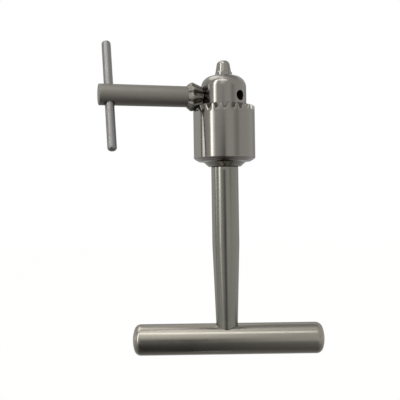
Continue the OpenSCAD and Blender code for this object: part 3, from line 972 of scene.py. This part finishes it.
def key_hole_cutter(angle):
    """A blind hole whose mouth is rounded over where it meets the curved side of the body."""
    angles = turns(HOLE_STEPS)

    def level(r, s):
        return [Vector((s, r * math.sin(a), r * math.cos(a))) for a in angles]

    def on_side(r, below):
        """A ring that follows the body's round side, a little below it."""
        return [Vector((math.sqrt(BODY_R**2 - (r * math.sin(a)) ** 2) - below,
                        r * math.sin(a), r * math.cos(a))) for a in angles]

    rings = [[Vector((KEY_HOLE_FLOOR, 0, 0))], level(KEY_HOLE_R, KEY_HOLE_FLOOR)]
    for k in range(RIM_STEPS + 1):
        b = math.pi / 2 * k / RIM_STEPS
        rings.append(on_side(KEY_HOLE_R + KEY_HOLE_RIM * (1 - math.cos(b)),
                             KEY_HOLE_RIM * (1 - math.sin(b))))
    rings.append(level(KEY_HOLE_R + KEY_HOLE_RIM + 0.02 * MM, OUTSIDE))
    rings.append([Vector((OUTSIDE, 0, 0))])
    # the hole's depths take the darker steel, which paints in their shade, and its rim takes the
    # polished steel
    cutter = skin("key_hole_cutter", rings, PAINTED_SHADE_STEEL)
    cutter.data.materials.append(POLISHED)
    for face in cutter.data.polygons:
        s, y, z = face.center
        if math.hypot(y, z) > KEY_HOLE_R and s > KEY_HOLE_FLOOR + MM:
            face.material_index = 1
    return place(cutter, Matrix.Translation((0, 0, KEY_Z)) @ Matrix.Rotation(angle, 4, "Z"))


# %% Cut the holes
JAW_LEAN = math.radians(15)
JAW_SHIFT = -0.41 * MM
JAW_HOLE_R, CORE_HOLE_R = 3.15 * MM, 3.3 * MM
JAW_HOLE_ENDS = (-43.7 * MM, 2 * MM)
CORE_HOLE_ENDS = (-40 * MM, 0)
SHARP = math.radians(38)


def rod_cutter(name, r, ends, matrix):
    low, high = ends
    outline = [Vector((0, low)), Vector((r, low)), Vector((r, high)), Vector((0, high))]
    # the darker steel goes over to the walls of the hole and paints in their shade
    return place(turned(name, outline, PAINTED_SHADE_STEEL, segments=96), matrix)


def cut(obj, cutters):
    """Cuts solids out of a piece, bakes the result and removes the cutters."""
    for cutter in cutters:
        modifier = obj.modifiers.new("cut", "BOOLEAN")
        modifier.operation = "DIFFERENCE"
        modifier.solver = "EXACT"
        modifier.material_mode = "TRANSFER"
        modifier.object = cutter
    baked = baked_mesh(obj)
    for cutter in cutters:
        bpy.data.objects.remove(cutter)
    shade_smooth(baked)
    baked.set_sharp_from_angle(angle=SHARP)
    print(f"{obj.name}: {len(cutters)} cuts")


body = turned("chuck_shell", body_outline(), POLISHED, segments=256)
cutters = [key_hole_cutter(KEY_ANGLE + math.radians(120 * k)) for k in range(3)]
for k in range(3):
    jaw_axis = (
        Matrix.Rotation(KEY_ANGLE + math.radians(60 + 120 * k), 4, "Z")
        @ Matrix.Translation((JAW_SHIFT, 0, 0))
        @ Matrix.Rotation(-JAW_LEAN, 4, "Y")
    )
    cutters.append(rod_cutter("jaw_hole", JAW_HOLE_R, JAW_HOLE_ENDS, jaw_axis))
cutters.append(rod_cutter("core_hole", CORE_HOLE_R, CORE_HOLE_ENDS, Matrix.Identity(4)))
cut(body, cutters)
finish_piece(body, "handle", "polished_chuck", "chuck_body")

# %% [markdown]
# ## The key's pinion
#
# The key is a bevel pinion on a thick shank, with a tommy bar through the far end. The pinion's
# tooth is an involute whose every size grows with the distance s from the spindle, so the same
# outline, given as angles and slopes, serves at every s.
#
# In the photograph the teeth end in broad round lobes. Real keys get them from a blank with a
# rounded back. Here each tooth runs out into such a petal behind the sleeve's rim, where nothing
# meshes with it.

# %% One tooth of the pinion, as angles and slopes
PINION_ROOT = math.tan(math.radians(15))
PINION_TIP = math.tan(math.radians(23.2))
TIP_CROWN, TIP_SHOULDER = 0.003, 0.002
PRESSURE = math.radians(20)
PLAY = math.radians(1.2)
FLANK_STEPS = 12


def involute(a):
    return math.tan(a) - a


def tooth_half_angle(slope):
    base = math.tan(PITCH_SLOPE) * math.cos(PRESSURE)
    at_base = math.pi / 2 / PINION_TEETH - PLAY + involute(PRESSURE)
    return at_base if slope <= base else at_base - involute(math.acos(base / slope))


def tooth_outline():
    """Angles and slopes along one tooth, from the middle of a space over the tip and down."""
    half_pitch = math.pi / PINION_TEETH
    flank = []
    for k in range(FLANK_STEPS + 1):
        slope = PINION_ROOT + (PINION_TIP - PINION_ROOT) * k / FLANK_STEPS
        flank.append((tooth_half_angle(slope), slope))
    rise = [(half_pitch, PINION_ROOT), ((half_pitch + flank[0][0]) / 2, PINION_ROOT)] + flank
    tip = rise[-1][0]
    top = [(tip * 0.7, PINION_TIP + TIP_SHOULDER), (tip * 0.3, PINION_TIP + TIP_CROWN)]
    left = [(-a, s) for a, s in rise + top]
    return left + [(-a, s) for a, s in reversed(left)]


print("a tooth's outline has", len(tooth_outline()), "points")

# %% The tooth's radius along the key
PINION_CREST = 16.7 * MM
PINION_BACK = 19.0 * MM
CREST_SOFT = 0.35 * MM
SHANK_R = 5.05 * MM
RUN_OUT = (15.1 * MM, 16.9 * MM)
PETAL_DEPTH = 0.16
BACK_FALL = (PINION_CREST * PINION_TIP - SHANK_R) / (PINION_BACK - PINION_CREST)


def blank_radius(s):
    """The blank: a cone up to the crest, then a chamfer down to the shank."""
    cone = s * (PINION_TIP + TIP_CROWN)
    chamfer = SHANK_R + (PINION_BACK - s) * BACK_FALL
    return min(cone, chamfer) - CREST_SOFT * math.exp(-abs(cone - chamfer) / CREST_SOFT)


def tooth_radius(s, a, slope):
    """The tooth's own radius, which past the ring runs out into a rounded petal."""
    tooth = min(slope * s, blank_radius(s))
    t = min(1.0, max(0.0, (s - RUN_OUT[0]) / (RUN_OUT[1] - RUN_OUT[0])))
    petal = blank_radius(s) * (1 - PETAL_DEPTH * abs(a * PINION_TEETH / math.pi) ** 3)
    return tooth + (max(tooth, petal) - tooth) * t * t * (3 - 2 * t)


print(f"the pinion is {2 * blank_radius(PINION_CREST) / MM:.1f} mm across its crest")

# %% Build the pinion from one sector
PINION_FRONT = 11.4 * MM
NOSE_EDGE, NOSE_BREAK = 0.25 * MM, 0.08 * MM
# the rows stand closer together where the crest is rounded
STATIONS_MM = (12.5, 13.5, 14.5, 15.3, 15.9, 16.3, 16.5, 16.7, 16.9, 17.1, 17.4, 17.8, 18.2, 18.5,
               18.75, 19.0)
ALONG_KEY = (
    Matrix.Translation((0, 0, KEY_Z))
    @ Matrix.Rotation(KEY_ANGLE, 4, "Z")
    @ Matrix.Rotation(math.radians(90), 4, "Y")
)


def pinion_sector():
    outline = tooth_outline()

    def row(s, shrink=0.0):
        radii = [tooth_radius(s, a, slope) - shrink for a, slope in outline]
        return [Vector((r * math.cos(a), r * math.sin(a), s)) for r, (a, _) in zip(radii, outline)]

    rows = [[Vector((0, 0, PINION_FRONT))]]
    rows += [row(PINION_FRONT, NOSE_EDGE), row(PINION_FRONT + NOSE_BREAK, NOSE_BREAK)]
    rows.append(row(PINION_FRONT + NOSE_EDGE))
    rows += [row(s * MM) for s in STATIONS_MM]
    rows.append([Vector((0, 0, PINION_BACK))])
    return rows


pinion = skin("key_teeth", pinion_sector(), KEY_STEEL, closed=False)
copies_round_axis(pinion, PINION_TEETH, KEY_STEEL)
place(pinion, ALONG_KEY)
finish_piece(pinion, "key", "blasted_key", "key_pinion")

# %% [markdown]
# ## The key's shank and tommy bar
#
# The shank is a plain rod with a cross hole, and the tommy bar is pressed through it. The hole's
# mouths are countersunk, so a thin dark line shows round the bar where it leaves the shank. A rod
# that merely ran into the shank would lack that line, so the hole is really cut, with a cutter
# turned from the hole's own outline.

# %% Turn the shank and cut its cross hole
SHANK_START = PINION_BACK - 0.02 * MM
SHANK_END = 61.3 * MM
TOMMY_S = SHANK_END - 5.0 * MM
TOMMY_TURN = math.radians(18)
ACROSS_SHANK = (
    Matrix.Translation((0, 0, TOMMY_S))
    @ Matrix.Rotation(TOMMY_TURN, 4, "Z")
    @ Matrix.Rotation(math.radians(90), 4, "Y")
)
# radius and distance from the shank's axis, in mm: plain in the middle, flared at both mouths
CROSS_HOLE = ((0, -7), (3.9, -7), (3.9, -5.9), (2.2, -4.2),
              (2.2, 4.2), (3.9, 5.9), (3.9, 7), (0, 7))

shank = turned("key_shaft", rounded([
    (0, SHANK_START, 0),
    (SHANK_R, SHANK_START, 0),
    (SHANK_R, SHANK_END, 0.45 * MM),
    (0, SHANK_END, 0),
]), KEY_STEEL)
hole = turned("tommy_hole", [Vector(p) * MM for p in CROSS_HOLE], KEY_STEEL, segments=96)
place(hole, ACROSS_SHANK)
cut(shank, [hole])
place(shank, ALONG_KEY)
finish_piece(shank, "key", "blasted_key", "key_shank")

# %% Turn the tommy bar
TOMMY_R = 2.2 * MM
TOMMY_LEN = 56.8 * MM
TOMMY_EDGE = 1.5 * MM

tommy = turned("key_tommy_bar", rounded([
    (0, -TOMMY_LEN / 2, 0),
    (TOMMY_R, -TOMMY_LEN / 2, TOMMY_EDGE),
    (TOMMY_R, TOMMY_LEN / 2, TOMMY_EDGE),
    (0, TOMMY_LEN / 2, 0),
], steps=8), TOMMY_STEEL, segments=96)
place(tommy, ALONG_KEY @ ACROSS_SHANK)
finish_piece(tommy, "key", "blasted_key", "key_bar")

# %% [markdown]
# ## The key's pilot
#
# The pilot is the pin that stands in the chuck's key hole and carries the pinion. Only its end
# shows, when the key is pulled out. It is a stepped turning: the thick end fills the key hole, and
# the thin end stands in the pinion.

# %% Turn the pilot
PILOT_R, PIN_R = 2.35 * MM, 1.7 * MM
PILOT_TIP, PILOT_STEP, PIN_END = 6.0 * MM, 11.35 * MM, 15.3 * MM

# the pilot is turned in the darker steel, which paints in the shade of the key hole where it stands
pilot = turned("key_pilot_pin", rounded([
    (0, PILOT_TIP, 0),
    (PILOT_R, PILOT_TIP, 0.4 * MM),
    (PILOT_R, PILOT_STEP, 0),
    (PIN_R, PILOT_STEP, 0),
    (PIN_R, PIN_END, 0),
    (0, PIN_END, 0),
]), PAINTED_SHADE_STEEL, segments=96)
place(pilot, ALONG_KEY)
finish_piece(pilot, "pilot", "hardened_inner", "key_pilot")

# %% [markdown]
# ## The pieces that keep their frame mesh
#
# The jaws and the two halves of the hidden nut have the right shape in the frame already, threads
# and all. Making them again would gain nothing, so they only get their steel.

# %% Steel for the remaining nodes
KEPT = {
    "jaw_a": JAW_STEEL,
    "jaw_b": JAW_STEEL,
    "jaw_c": JAW_STEEL,
    # the halves of the nut take the darker steel, which paints in the shade inside the sleeve
    "nut_half_front": PAINTED_SHADE_STEEL,
    "nut_half_back": PAINTED_SHADE_STEEL,
}
for name, finish in KEPT.items():
    node = frame["nodes"][name]
    node.data.materials.clear()
    node.data.materials.append(finish)
    print(f"{name}: {finish.name}")
